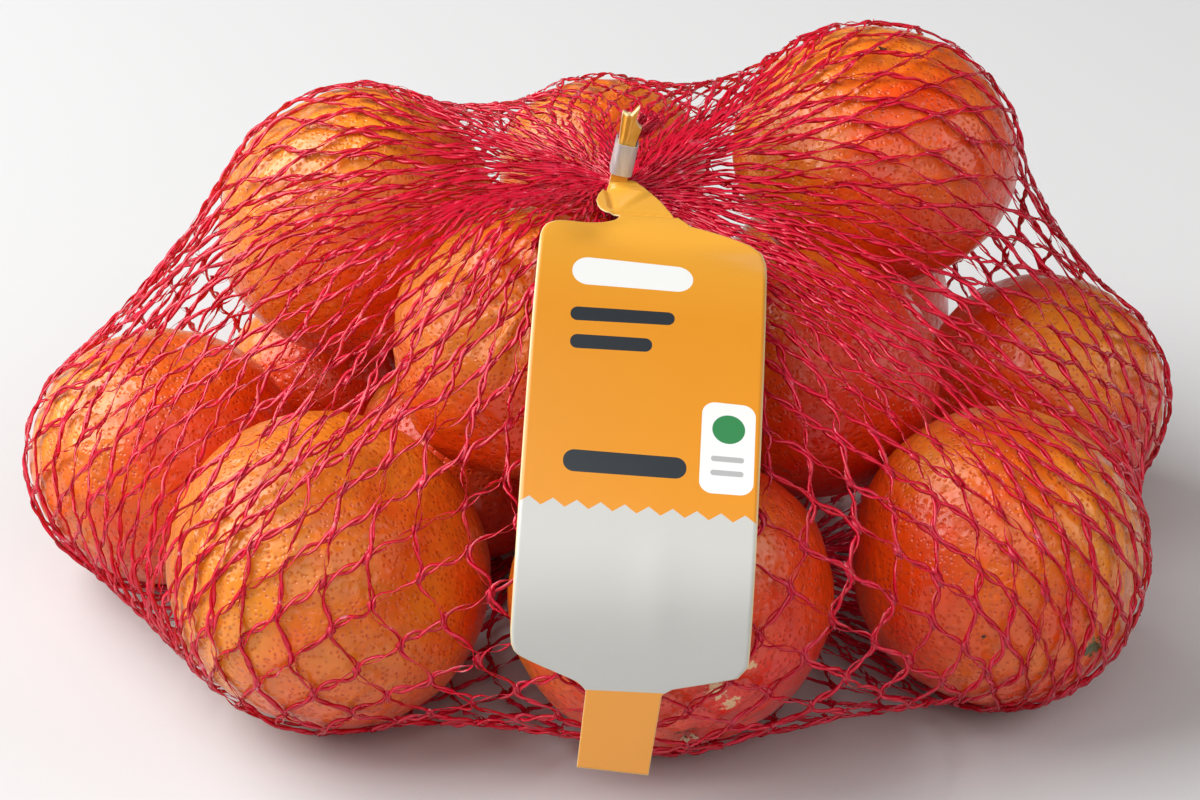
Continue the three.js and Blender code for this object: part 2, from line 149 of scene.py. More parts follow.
def peel_material(name, yellow, seed, marks):
    """Blotched peel with red oil pores, small dimples and the fruit's own marks, painted yellower on the
    side towards the light and redder, as painted shade, on the side away from it.
    """
    material, graph, shader = new_material(name)
    place = node(graph, "ShaderNodeTexCoord")
    moved = node(graph, "ShaderNodeMapping", in_Location=(seed * 0.37, seed * 0.11, seed * 0.23))
    blotch = node(graph, "ShaderNodeTexNoise", in_Scale=38.0, in_Detail=3.0, in_Roughness=0.55)
    mottle = node(graph, "ShaderNodeTexNoise", in_Scale=260.0, in_Detail=3.0, in_Roughness=0.6)
    pores = node(graph, "ShaderNodeTexVoronoi", in_Scale=980.0, in_Randomness=0.8)
    wide_pores = node(graph, "ShaderNodeTexVoronoi", in_Scale=430.0, in_Randomness=1.0)
    speck = node(graph, "ShaderNodeTexNoise", in_Scale=1000.0, in_Detail=3.0)
    link(graph, [(place.outputs["Object"], moved.inputs["Vector"])])
    for texture in (blotch, mottle, pores, wide_pores, speck):
        link(graph, [(moved.outputs["Vector"], texture.inputs["Vector"])])
    # painted light: this attribute is 1 on the side towards the light and 0 away from it, and with the
    # random blotches it sets the tone, yellower where lit and redder in painted shade
    painted_light_side = node(graph, "ShaderNodeAttribute", attribute_name="painted_light_side")
    blotch_and_painted_light = node(graph, "ShaderNodeMath", operation="MULTIPLY_ADD")
    blotch_and_painted_light.inputs[1].default_value = 0.5
    link(graph, [(painted_light_side.outputs["Fac"], blotch_and_painted_light.inputs[0]), (blotch.outputs["Fac"], blotch_and_painted_light.inputs[2])])
    orange = 0.85 - 0.37 * yellow
    tone = ramp(graph, blotch_and_painted_light.outputs["Value"], [
        (orange - TO_RED, PEEL_RED), (orange, PEEL_ORANGE), (min(orange + TO_YELLOW, 1.0), PEEL_YELLOW),
    ])
    fleck = ramp(graph, mottle.outputs["Fac"], [(0.3, grey(0.82)), (0.7, grey(1.0))])
    base = mix(graph, 1.0, tone, fleck, "MULTIPLY")
    dots = ramp(graph, pores.outputs["Distance"], [(0.15, grey(1.0)), (0.38, grey(0.0))])
    show = ramp(graph, mottle.outputs["Fac"], [(0.3, grey(0.2)), (0.65, grey(0.7))])
    dark = mix(graph, 1.0, dots, show, "MULTIPLY")
    coloured = mix(graph, dark, base, PORE_RED)
    for spot, size, colour in marks:
        away = node(graph, "ShaderNodeVectorMath", operation="DISTANCE")
        away.inputs[1].default_value = [c * MM for c in spot]
        uneven = node(graph, "ShaderNodeMath", operation="MULTIPLY_ADD")
        uneven.inputs[1].default_value = size * MM * RAGGED
        within = node(graph, "ShaderNodeMapRange")
        within.inputs["From Min"].default_value = size * MM * MARK_FADE[0]
        within.inputs["From Max"].default_value = size * MM * MARK_FADE[1]
        link(graph, [
            (place.outputs["Object"], away.inputs[0]),
            (speck.outputs["Fac"], uneven.inputs[0]),
            (away.outputs["Value"], uneven.inputs[2]),
            (uneven.outputs["Value"], within.inputs["Value"]),
        ])
        coloured = mix(graph, within.outputs["Result"], coloured, colour)
    link(graph, [(coloured, shader.inputs["Base Color"])])
    hollow = node(graph, "ShaderNodeBump", in_Strength=0.6, in_Distance=0.00035)
    pit = ramp(graph, wide_pores.outputs["Distance"], [(0.05, grey(0.0)), (0.5, grey(1.0))])
    dimple = node(graph, "ShaderNodeBump", in_Strength=0.7, in_Distance=0.00026)
    prick = ramp(graph, pores.outputs["Distance"], [(0.05, grey(0.0)), (0.42, grey(1.0))])
    link(graph, [
        (pit, hollow.inputs["Height"]),
        (prick, dimple.inputs["Height"]),
        (hollow.outputs["Normal"], dimple.inputs["Normal"]),
    ])
    fine = node(graph, "ShaderNodeBump", in_Strength=0.5, in_Distance=0.0003)
    link(graph, [
        (mottle.outputs["Fac"], fine.inputs["Height"]),
        (dimple.outputs["Normal"], fine.inputs["Normal"]),
        (fine.outputs["Normal"], shader.inputs["Normal"]),
        (fine.outputs["Normal"], shader.inputs["Coat Normal"]),
    ])
    rough = ramp(graph, blotch.outputs["Fac"], [(0.3, grey(0.3)), (0.7, grey(0.42))])
    link(graph, [(rough, shader.inputs["Roughness"])])
    shader.inputs["Specular IOR Level"].default_value = 0.25
    shader.inputs["Coat Weight"].default_value = 0.85
    shader.inputs["Coat Roughness"].default_value = 0.27
    shader.inputs["Subsurface Weight"].default_value = 0.12
    shader.inputs["Subsurface Radius"].default_value = (0.004, 0.0016, 0.0006)
    shader.inputs["Subsurface Scale"].default_value = 1.0
    return material


def fruit_shape(spec):
    """Centre, the directions round and along the core, and the radii along them, in mm."""
    at, girth, core, axis, _, _ = spec
    up = Vector(axis).normalized()
    side = up.cross(Vector((0.3, 0.9, 0.1))).normalized()
    turn = np.array([side, up.cross(side), up])
    radii = np.array([girth, girth, core])
    height = math.sqrt(float(((turn[:, 2] * radii) ** 2).sum()))
    centre = np.array(at if len(at) == 3 else (*at, UNDER_FRUIT + height))
    return centre, turn, radii


FRUIT = {name: fruit_shape(spec) for name, spec in MANDARINS.items()}


def show_mesh(name, mesh, material):
    mesh.shade_smooth()
    mesh.materials.append(material)
    piece = bpy.data.objects.new(name, mesh)
    bpy.context.scene.collection.objects.link(piece)
    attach(piece, "root")
    return piece


def add_piece(name, bm, material):
    mesh = bpy.data.meshes.new(name)
    bm.to_mesh(mesh)
    bm.free()
    return show_mesh(name, mesh, material)


# depth and half width of the dimples at both ends of the core
STEM_PIT = (1.5, 5.5)
BASE_PIT = (0.7, 4.5)
# ribs round the stem: how many, how far they wander, how far from the core and how broad their band is
RIBS, RIB_WANDER, RIB_BAND = 9, 2.2, (9, 7)
FURROWS = {"upper_middle_left": 1.5, "front_middle": 0.7}
# broad, medium and small lumps: how fine they are and their share of the fruit's lumpiness
LUMPS, LUMP_SINK = ((1.5, 0.9), (4.5, 0.45), (13, 0.16)), 0.55
stem_ends = {}
for seed, (name, spec) in enumerate(MANDARINS.items()):
    centre, turn, radii = FRUIT[name]
    lumps = spec[5]
    bm = bmesh.new()
    bmesh.ops.create_icosphere(bm, subdivisions=6, radius=1.0)
    unit = np.array([v.co for v in bm.verts])
    unit /= np.linalg.norm(unit, axis=1)[:, None]
    local = unit * radii
    from_core = np.hypot(local[:, 0], local[:, 1])
    top, bottom = unit[:, 2] > 0, unit[:, 2] < 0
    local[:, 2] -= top * STEM_PIT[0] * np.exp(-((from_core / STEM_PIT[1]) ** 2))
    local[:, 2] += bottom * BASE_PIT[0] * np.exp(-((from_core / BASE_PIT[1]) ** 2))
    angle = np.arctan2(local[:, 1], local[:, 0])
    band = np.exp(-(((from_core - RIB_BAND[0]) / RIB_BAND[1]) ** 2))
    ribs = np.cos(RIBS * angle + RIB_WANDER * np.sin(angle + seed)) * band * top
    shrink = FURROWS.get(name, 0.25 * lumps) * (ribs - 1) * 0.5
    for i, direction in enumerate(unit):
        spot = Vector(direction) + Vector((seed * 3.1, 0, 0))
        shrink[i] += lumps * (sum(share * noise.noise(spot * fine) for fine, share in LUMPS) - LUMP_SINK)
    local += unit * shrink[:, None]
    placed = (local @ turn + centre) * MM
    # painted light: each point's share of light from the fixed direction, kept for the peel's painted lit
    # side and painted shade
    painted_light_side = bm.verts.layers.float.new("painted_light_side")
    lit = 0.5 + 0.5 * (unit @ turn) @ np.array(PAINTED_LIGHT_WAY_OF.get(name, PAINTED_LIGHT_WAY))
    for vert, co, share in zip(bm.verts, placed, lit):
        vert.co = co
        vert[painted_light_side] = share
    stem_ends[name] = placed[unit[:, 2].argmax()] / MM, turn
    marks = []
    for spot, size, colour in MARKS.get(name, ()):
        nearest = np.linalg.norm(placed - np.array(spot) * MM, axis=1).argmin()
        marks.append((placed[nearest] / MM, size, colour))
    peel = peel_material("peel_" + name, spec[4], seed + 1, marks)
    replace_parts(add_piece("mandarin_" + name, bm, peel), "net")

# Dried calyx: a small five-pointed collar of dry sepals left in the front middle fruit's stem
# pit, their tips standing up round its flat middle. It grew there and stays when the stalk is cut.
SEPALS, SEPAL, NOTCH, CALYX_MIDDLE = 5, 2.1, 1.1, 0.7
CALYX_RISE, CALYX_THICK, CALYX_LIFT = 1.1, 0.4, 0.5
at, turn = stem_ends["front_middle"]
bm = bmesh.new()
bmesh.ops.create_cone(bm, segments=20, radius1=1.0, radius2=0.35, depth=1.0)
for vert in bm.verts:
    around, reach = math.atan2(vert.co.y, vert.co.x), math.hypot(vert.co.x, vert.co.y)
    point = abs(math.cos(SEPALS / 2 * around)) ** 1.5
    out = (NOTCH + (SEPAL - NOTCH) * point) * reach if reach > 0.5 else CALYX_MIDDLE
    rise = CALYX_RISE * point if reach > 0.5 else 0.1
    height = rise + CALYX_THICK * (vert.co.z > 0) + CALYX_LIFT
    local = np.array([out * math.cos(around), out * math.sin(around), height])
    vert.co = (at + local @ turn) * MM
bmesh.ops.recalc_face_normals(bm, faces=bm.faces)
calyx, calyx_graph, calyx_shader = new_material("dried_calyx")
calyx_place = node(calyx_graph, "ShaderNodeTexCoord")
dryness = node(calyx_graph, "ShaderNodeTexNoise", in_Scale=4000.0, in_Detail=2.0)
dried = ramp(calyx_graph, dryness.outputs["Fac"], [(0.3, (0.30, 0.17, 0.07)), (0.55, (0.75, 0.60, 0.40))])
link(calyx_graph, [
    (calyx_place.outputs["Object"], dryness.inputs["Vector"]),
    (dried, calyx_shader.inputs["Base Color"]),
])
calyx_shader.inputs["Roughness"].default_value = 0.7
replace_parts(add_piece("calyx_front_middle", bm, calyx), "net")

# The label's film: one strip of printed plastic film, gathered in the clip, opening over the
# bag's front into the label panel and ending in a narrow tail. It lies where the label's solid
# lies: straight rows across it are found on that solid, and the finer film is built on them.
NECK_AT = Vector((1.3, -0.2, 84.0))
NECK_TURN = Matrix.Rotation(math.radians(-3), 4, "X") @ Matrix.Rotation(math.radians(12), 4, "Y")
throat = Matrix.Translation(NECK_AT) @ NECK_TURN
CLIP_BOTTOM, CLIP_LENGTH = 3.4, 6.2
FILM = 0.3
GATHER_HALF, GATHER_THICK, GATHER_FRONT, FILM_DROP = 1.6, 1.7, -1.35, 2.0
PANEL_END, FILM_CORNER = 109.0, 8
# distance from the clip and half width, down the film's left and right edges
LEFT_EDGE = (
    (0, 1.5, 3.2, 6, 9, 11.5, 13.6, 15.0, 15.8, 16.4, 17.4, 18.8, 20.2, 22, 24.2, 26.2, 27.8, 29.4, 31.2,
     PANEL_END - 2, PANEL_END + 0.6, 111.2, 112.2, 113.2, 115.4, 116.8, 140),
    (1.6, 2.8, 4.2, 6.0, 7.4, 8.0, 8.1, 7.6, 6.5, 5.7, 5.5, 6.4, 9.0, 13.6, 17.5, 19.5, 20.3, 20.7, 20.8,
     20.8, 20.5, 19.8, 18.4, 15.6, 8.4, 6.6, 6.2),
)
RIGHT_EDGE = (
    (0, 1.2, 2.8, 10, 16.8, 19.8, 22.2, 24.4, 26.6, 28.0, 29.6, 32.0,
     PANEL_END, 111.0, 114.4, 115.8, 140),
    (1.6, 2.9, 3.6, 4.0, 4.4, 5.6, 7.0, 12.5, 18.0, 20.2, 21.1, 21.4,
     20.8, 19.2, 8.4, 6.6, 6.2),
)
# folds pressed into the film below the clip: both ends, height out of the film, half width
CREASES = (
    ((-2.8, 1.5), (-5.6, 13.0), -1.0, 0.9),
    ((-5.8, 15.8), (4.8, 18.2), -0.75, 0.9),
    ((-1.8, 1.6), (3.0, 3.0), -0.45, 0.9),
)
# a flat facet between the folds, tilted towards the light
FACET = ((-1.8, 2.0), (2.0, 8.2), (-4.8, 13.5))
# the film's cut end above the clip: length, half width, curled tip, slanted cut, pleats
FILM_END, FILM_END_HALF = 6.0, 2.05
TIP_CURL, CUT_SLANT, PLEAT, PLEATS = 0.3, 0.38, 0.28, 11
# how far the film stays off the fruit under it
OFF_FRUIT = 1.5
FILM_MIDDLE = ((0, 0.16, 0.83, 1), (2.0, 8.2, 3.2, 0.4))
TAIL_END = (-94.9, 16.2)
PATH_POLE, PATH_ANGLES = (-30.0, 20.0), (76.0, 183.0, 215)


def unit_rows(v):
    return v / np.maximum(np.linalg.norm(v, axis=-1, keepdims=True), 1e-9)


def ease(x, low, high):
    t = np.clip((x - low) / (high - low), 0, 1)
    return t * t * (3 - 2 * t)


def fruit_depths(points):
    """How far each point is outside each fruit, and which way out of that fruit is."""
    depth = np.empty((len(FRUIT), len(points)))
    facing = np.empty((len(FRUIT), len(points), 3))
    for n, (centre, turn, radii) in enumerate(FRUIT.values()):
        scaled = (points - centre) @ turn.T / radii
        far = np.linalg.norm(scaled, axis=1)
        slope = (scaled / radii) @ turn
        steep = np.maximum(np.linalg.norm(slope, axis=1), 1e-9)
        depth[n] = (far - 1) * far / steep
        facing[n] = slope / steep[:, None]
    return depth, facing


def film_half(distance, side):
    """Half width of the film on its left (side below 0) or right."""
    return np.where(np.asarray(side) < 0, np.interp(distance, *LEFT_EDGE), np.interp(distance, *RIGHT_EDGE))


def crease_height(across, down):
    """How far the folds near the clip lift the film."""
    spots = np.stack([across, down + 0 * across], -1)
    total = np.zeros(len(spots))
    for start, end, height, wide in CREASES:
        start, end = np.array(start), np.array(end)
        share = np.clip((spots - start) @ (end - start) / ((end - start) @ (end - start)), 0, 1)
        far = np.linalg.norm(spots - start - share[:, None] * (end - start), axis=1)
        total += height * np.maximum(1 - far / wide, 0)
    corners = np.array(FACET)
    inside = np.full(len(spots), 9.0)
    for start, end in zip(corners, np.roll(corners, -1, axis=0)):
        side = (end - start) / np.linalg.norm(end - start)
        inside = np.minimum(inside, (spots - start) @ np.array([-side[1], side[0]]))
    tilted = 0.22 * (spots[:, 0] - corners[2, 0]) + 0.12 * (spots[:, 1] - corners[2, 1])
    return total + tilted * np.clip(1 + inside / 1.6, 0, 1)


label_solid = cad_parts["label"].data
label_tree = BVHTree.FromPolygons(
    [v.co / MM for v in label_solid.vertices], [f.vertices[:] for f in label_solid.polygons]
)


def on_label(spot, way):
    """The label's outer side where a line from outside comes in to it, against way."""
    spot, way = Vector(spot), Vector(way)
    hit = label_tree.ray_cast(spot, -way)[0]
    return None if hit is None else np.array(hit)


def steps_along(rows):
    return np.concatenate([[0], np.cumsum(np.linalg.norm(np.diff(rows, axis=0), axis=1))])


def directions(rows):
    """Along the rows, straight across them and out of them."""
    ends = np.concatenate([rows[:1], rows, rows[-1:]])
    along = unit_rows(ends[2:] - ends[:-2])
    across = unit_rows(np.array([1.0, 0, 0]) - along[:, :1] * along)
    return along, across, -np.cross(across, along)


def find_film():
    """Points down the middle of the label's solid, the ways across it and out of it there, and the
    length from the clip to each."""
    start = np.array(throat @ Vector((0, GATHER_FRONT, CLIP_BOTTOM - FILM_DROP)))
    finish = np.array((FILM_MIDDLE[1][-1], *TAIL_END))
    first, last, count = PATH_ANGLES
    angles = np.radians(np.linspace(first, last, count))
    sideways = np.interp(np.linspace(0, 1, count), *FILM_MIDDLE)
    for _ in range(4):
        rows, kept = [start], []
        for k, (angle, x) in enumerate(zip(angles, sideways)):
            way = np.array((0, math.cos(angle), math.sin(angle)))
            spot = on_label(np.array((x, *PATH_POLE)) + way * 150, way)
            if spot is not None and spot[1] < -5 and spot[2] > TAIL_END[1] + 1:
                rows.append(spot)
                kept.append(k)
        rows = np.array(rows + [finish])
        rows[1:-1] -= directions(rows)[2][1:-1] * FILM / 2
        length = steps_along(rows)
        sideways = np.interp(np.arange(count), kept, np.interp(length[1:-1] / length[-1], *FILM_MIDDLE))
    even = np.linspace(0, length[-1], 90)
    rows = np.stack([np.interp(even, length, rows[:, k]) for k in range(3)], 1)
    for _ in range(3):
        rows[1:-1] = 0.25 * rows[:-2] + 0.5 * rows[1:-1] + 0.25 * rows[2:]
    length = steps_along(rows)
    _, across, out = directions(rows)
    for k in range(4, len(rows)):
        sides = []
        for side in (-1, 1):
            beside = rows[k] + across[k] * (side * 0.8 * float(film_half(length[k], side)))
            sides.append(on_label(beside + out[k] * 12, out[k]))
        if sides[0] is not None and sides[1] is not None:
            across[k] = sides[1] - sides[0]
    across = unit_rows(across)
    for _ in range(2):
        across[1:-1] = unit_rows(across[:-2] + across[1:-1] + across[2:])
    along = directions(rows)[0]
    return rows, across, unit_rows(-np.cross(across, along)), length


film_rows, film_across, film_out, film_length = find_film()
FILM_TOTAL = film_length[-1]


def film_at(distance):
    """Middle point, direction across and direction out of the film, at distances from the clip."""
    column = [np.interp(distance, film_length, film_rows[:, k]) for k in range(3)]
    across = [np.interp(distance, film_length, film_across[:, k]) for k in range(3)]
    out = [np.interp(distance, film_length, film_out[:, k]) for k in range(3)]
    return np.stack(column, -1), unit_rows(np.stack(across, -1)), unit_rows(np.stack(out, -1))


CLIP_TOP = FILM_DROP + CLIP_LENGTH
GATHERED = CLIP_TOP + FILM_END
stations = np.concatenate([
    np.linspace(-GATHERED, 0, 30, endpoint=False),
    np.arange(0.0, 33.0, 0.5),
    np.arange(33.0, PANEL_END, 1.6),
    np.arange(PANEL_END, PANEL_END + FILM_CORNER, 0.5),
    np.arange(PANEL_END + FILM_CORNER, FILM_TOTAL, 1.2),
    [FILM_TOTAL],
])
COLUMNS = 48
shares = np.linspace(-1, 1, COLUMNS + 1)
front, back, print_u, outs = [], [], [], []
throat_across = np.array(throat.to_3x3() @ Vector((1, 0, 0)))
throat_out = np.array(throat.to_3x3() @ Vector((0, -1, 0)))
throat_up = np.array(throat.to_3x3() @ Vector((0, 0, 1)))
for distance in stations:
    thinned = min(max((distance + FILM_DROP) / (2.5 * FILM_DROP), 0), 1)
    thick = (GATHER_THICK + (FILM - GATHER_THICK) * thinned) / 2
    if distance <= 0:
        at = np.array(throat @ Vector((0, GATHER_FRONT, CLIP_BOTTOM - FILM_DROP - distance)))
        across, out = throat_across, throat_out
        half = GATHER_HALF + (FILM_END_HALF - GATHER_HALF) * ease(-distance, CLIP_TOP, GATHERED)
        half = half + 0 * shares
        free = max(-distance - CLIP_TOP, 0)
        curl = TIP_CURL * free * np.exp(-(((shares - 0.02) / 0.10) ** 2))
        cut = curl - CUT_SLANT * free * ease(shares, -0.1, 1)
        pleats = PLEAT * np.cos(PLEATS * (shares + 0.85)) * (shares < 0.1)
        fold = min(free / 1.5, 1) * (pleats + 0.5 * shares**2) + 0.5 * curl
        at = at + cut[:, None] * throat_up - fold[:, None] * out + 0.5 * curl[:, None] * across
    else:
        at, across, out = film_at(distance)
        half = film_half(distance, shares)
        at = at + crease_height(shares * half, distance)[:, None] * out
    middle_line = at + across * (shares * half)[:, None]
    front.append(middle_line + out * thick)
    back.append(middle_line - out * thick)
    print_u.append(shares * half)
    outs.append(out)
front, back, print_u = np.array(front), np.array(back), np.array(print_u)
outs = np.array(outs)[:, None, :]

# where the film lies over fruit, it bends out to clear it and the net
short = np.maximum(OFF_FRUIT - fruit_depths(back.reshape(-1, 3))[0].min(0).reshape(back.shape[:2]), 0)
short *= (stations > 1.0)[:, None]
lift = short.copy()
for _ in range(14):
    lift[1:-1] = np.maximum(short[1:-1], (lift[:-2] + 2 * lift[1:-1] + lift[2:]) / 4)
    lift[:, 1:-1] = np.maximum(short[:, 1:-1], (lift[:, :-2] + 2 * lift[:, 1:-1] + lift[:, 2:]) / 4)
front += lift[..., None] * outs
back += lift[..., None] * outs


# colours of the print: orange, deeper lower down, grey below the zigzag, paler tail and cut edge
ORANGES = ((0.75, 0.36, 0.035), (0.71, 0.265, 0.012))
GREY_FIELD, TAIL_ORANGE, CUT_EDGE = (0.545, 0.54, 0.51), (0.86, 0.34, 0.04), (0.80, 0.62, 0.32)
# the zigzag border: half a tooth, how steep it is, how far down the film; and where the tail starts
TOOTH, TOOTH_STEEP, BORDER_AT, TAIL_AT = 2.1, 0.72, 82.6, 116.1


def film_material():
    material, graph, shader = new_material("printed_film")
    spot = node(graph, "ShaderNodeUVMap", uv_map="print")
    split = node(graph, "ShaderNodeSeparateXYZ")
    link(graph, [(spot.outputs["UV"], split.inputs["Vector"])])
    u, v = split.outputs["X"], split.outputs["Y"]

    def calc(operation, *values):
        made = graph.nodes.new("ShaderNodeMath")
        made.operation = operation
        for socket, value in zip(made.inputs, values):
            if hasattr(value, "is_output"):
                graph.links.new(value, socket)
            else:
                socket.default_value = value
        return made.outputs[0]

    def bar(u0, u1, v0, v1, tilt, corner):
        """A rounded bar of the print: 1 inside it. The print is tilted a little on the film."""
        x = calc("SUBTRACT", u, (u0 + u1) / 2)
        y = calc("SUBTRACT", calc("SUBTRACT", v, (v0 + v1) / 2), calc("MULTIPLY", x, tilt))
        dx = calc("MAXIMUM", calc("SUBTRACT", calc("ABSOLUTE", x), (u1 - u0) / 2 - corner), 0.0)
        dy = calc("MAXIMUM", calc("SUBTRACT", calc("ABSOLUTE", y), (v1 - v0) / 2 - corner), 0.0)
        far = calc("SQRT", calc("ADD", calc("MULTIPLY", dx, dx), calc("MULTIPLY", dy, dy)))
        return calc("LESS_THAN", far, corner)

    teeth = calc("PINGPONG", calc("ADD", u, 40.0), TOOTH)
    zigzag = calc("ADD", calc("MULTIPLY", teeth, TOOTH_STEEP), calc("MULTIPLY", u, 0.07))
    lower = calc("GREATER_THAN", v, calc("ADD", zigzag, BORDER_AT))
    tail = calc("GREATER_THAN", calc("ADD", v, calc("MULTIPLY", u, 0.1)), TAIL_AT)
    shade = ramp(graph, calc("DIVIDE", v, 100.0), [(0.2, ORANGES[0]), (0.45, ORANGES[1])])
    fields = mix(graph, lower, shade, GREY_FIELD)
    base = mix(graph, tail, fields, TAIL_ORANGE)
    for u0, u1, v0, v1, tilt, corner, colour in PRINT:
        base = mix(graph, bar(u0, u1, v0, v1, tilt, corner), base, colour)
    rim = node(graph, "ShaderNodeAttribute", attribute_name="rim")
    edge = ramp(graph, rim.outputs["Fac"], [(0.6, grey(0.0)), (0.95, grey(1.0))])
    base = mix(graph, edge, base, CUT_EDGE)
    shader.inputs["Roughness"].default_value = 0.36
    shader.inputs["Coat Weight"].default_value = 0.25
    shader.inputs["Coat Roughness"].default_value = 0.3
    place = node(graph, "ShaderNodeTexCoord")
    weave = node(graph, "ShaderNodeTexNoise", in_Scale=900.0, in_Detail=2.0)
    waves = node(graph, "ShaderNodeTexNoise", in_Scale=70.0, in_Detail=2.0)
    soft = node(graph, "ShaderNodeBump", in_Strength=0.25, in_Distance=0.0006)
    grain = node(graph, "ShaderNodeBump", in_Strength=0.1, in_Distance=0.0001)
    link(graph, [
        (base, shader.inputs["Base Color"]),
        (place.outputs["Object"], waves.inputs["Vector"]),
        (place.outputs["Object"], weave.inputs["Vector"]),
        (waves.outputs["Fac"], soft.inputs["Height"]),
        (soft.outputs["Normal"], grain.inputs["Normal"]),
        (weave.outputs["Fac"], grain.inputs["Height"]),
        (grain.outputs["Normal"], shader.inputs["Normal"]),
    ])
    return material


INK, WHITE, GREEN, PALE_LINE = (0.02, 0.025, 0.03), (0.80, 0.80, 0.78), (0.03, 0.22, 0.07), grey(0.42)
# left, right, top, bottom in mm on the film, tilt, corner radius, colour
PRINT = (
    (-14.3, 7.8, 32.8, 38.9, -0.055, 3.0, WHITE),
    (-14.0, 4.8, 43.8, 46.6, -0.05, 1.3, INK),
    (-13.7, 1.0, 49.6, 52.4, -0.03, 1.3, INK),
    (-13.5, 8.2, 72.6, 76.8, 0.04, 2.0, INK),
    (10.5, 20.0, 61.6, 79.9, 0.05, 2.4, WHITE),
    (12.4, 18.2, 64.0, 69.8, 0.05, 2.9, GREEN),
    (12.4, 18.2, 72.4, 73.5, 0.05, 0.5, PALE_LINE),
    (12.4, 18.2, 75.2, 76.3, 0.05, 0.5, PALE_LINE),
)


def film_mesh():
    """A flat grid thickened into a closed sheet, then every point moved to its place."""
    bm = bmesh.new()
    uv = bm.loops.layers.uv.new("print")
    rim = bm.verts.layers.float.new("rim")
    row, column = bm.verts.layers.int.new("row"), bm.verts.layers.int.new("column")
    last = len(stations) - 1
    bmesh.ops.create_grid(bm, x_segments=COLUMNS, y_segments=last, size=1.0)
    for vert in bm.verts:
        vert[row] = round((1 - vert.co.y) / 2 * last)
        vert[column] = round((1 + vert.co.x) / 2 * COLUMNS)
        vert[rim] = 1.0 if vert[column] in (0, COLUMNS) or vert[row] in (0, last) else 0.0
    below = set(bm.verts)
    bmesh.ops.extrude_face_region(bm, geom=bm.faces[:], use_keep_orig=True)
    for vert in bm.verts:
        sheet = back if vert in below else front
        vert.co = sheet[vert[row], vert[column]] * MM
    for face in bm.faces:
        for loop in face.loops:
            i, j = loop.vert[row], loop.vert[column]
            loop[uv].uv = (print_u[i, j], stations[i])
    for layer in (row, column):
        bm.verts.layers.int.remove(layer)
    bmesh.ops.recalc_face_normals(bm, faces=bm.faces)
    return bm


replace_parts(add_piece("label_film", film_mesh(), film_material()), "label")

# Net: a tube of knitted plastic mesh drawn over the fruit. Its cords are pairs of thin flat tapes
# twisted together, and neighbouring cords are knitted side by side wherever they meet. The tube is
# gathered in the clip above and in a flat gather under the bag, and stretched over the fruit.

# knots round and down the tube, side of a cell, and the cords' gap from the peel to their middle
ROUND, DOWN = 66, 28
SIDE, GAP = 8.7, 0.62
# how much denser the cords are in front, and how strongly they spread sideways low down there
FORWARD, SPREAD = 0.3, 0.005
SPREAD_TOP, SPREAD_FADE, SPREAD_FOOT, SPREAD_DEPTH, SPREAD_SIDE = 62, 45, 12, 50, 85
# rounds of pulling, how many of them are the last, settling ones, and how far the net bridges the
# hollows between fruit before those and in them
ROUNDS, SETTLING, BRIDGE = 900, 40, (2.5, 0.7)
# unevenness of the knots' places and of the cells' sides, a cord's rest length, the pull of a slack
# one, how far a knot overshoots its pull, and how far it evens out with its neighbours
UNEVEN_PLACE, UNEVEN_SIDE = 0.8, 0.05
REST, SLACK_PULL, OVERSHOOT, EVEN_OUT = 0.97, 0.1, 1.3, 0.03
# middle and half sizes of the loose tube before it is pulled, and of the bag
LOOSE_AT, LOOSE_HALF = (0, 5, 46), (150, 130, 95)
BAG_AT, BAG_HALF = (0, 5, 38), (116, 95, 55)
SEAM_AT, SEAM_HALF = np.array([-4.0, -2.0, 1.2]), (42.0, 1.5)
RNG = np.random.default_rng(5)
BUNDLE_BACK, BUNDLE_HALF, BUNDLE_DEEP = 1.15, 1.3, 1.0
even = np.arange(DOWN) % 2 == 0


def push_out(points, gap, low, smooth=0.0):
    """Moves points out of the fruit. With smooth, the hollows between touching fruit fill up."""
    flat = points.reshape(-1, 3)
    depth, facing = fruit_depths(flat)
    nearest = depth.min(0)
    if smooth > 0:
        weight = np.exp(-(depth - nearest) / smooth)
        total = weight.sum(0)
        level = np.maximum(nearest - smooth * np.log(total), nearest - 4.0)
        direction = (weight[..., None] * facing).sum(0) / total[:, None]
        outward = unit_rows((flat - BAG_AT) / BAG_HALF)
        opposed = np.maximum(1 - np.linalg.norm(direction, axis=1), 0)
        direction = direction + outward * (1.5 * opposed)[:, None]
    else:
        level = nearest
        direction = np.take_along_axis(facing, depth.argmin(0)[None, :, None], 0)[0]
    lack = gap - level
    inside = (lack > 0) & (nearest < gap + 3)
    steep = np.maximum(np.linalg.norm(direction, axis=1), 0.35)
    flat[inside] += (lack / steep)[inside, None] * (direction / steep[:, None])[inside]
    points[:] = flat.reshape(points.shape)
    points[..., 2] = np.maximum(points[..., 2], low)


def partners(lower):
    """For each knot, the knot below it on its other side."""
    return np.where(even[:, None, None], np.roll(lower, 1, axis=1), np.roll(lower, -1, axis=1))


def back_to_knots(values):
    """The reverse of partners."""
    shape = even.reshape(-1, *[1] * (values.ndim - 1))
    return np.where(shape, np.roll(values, -1, axis=1), np.roll(values, 1, axis=1))


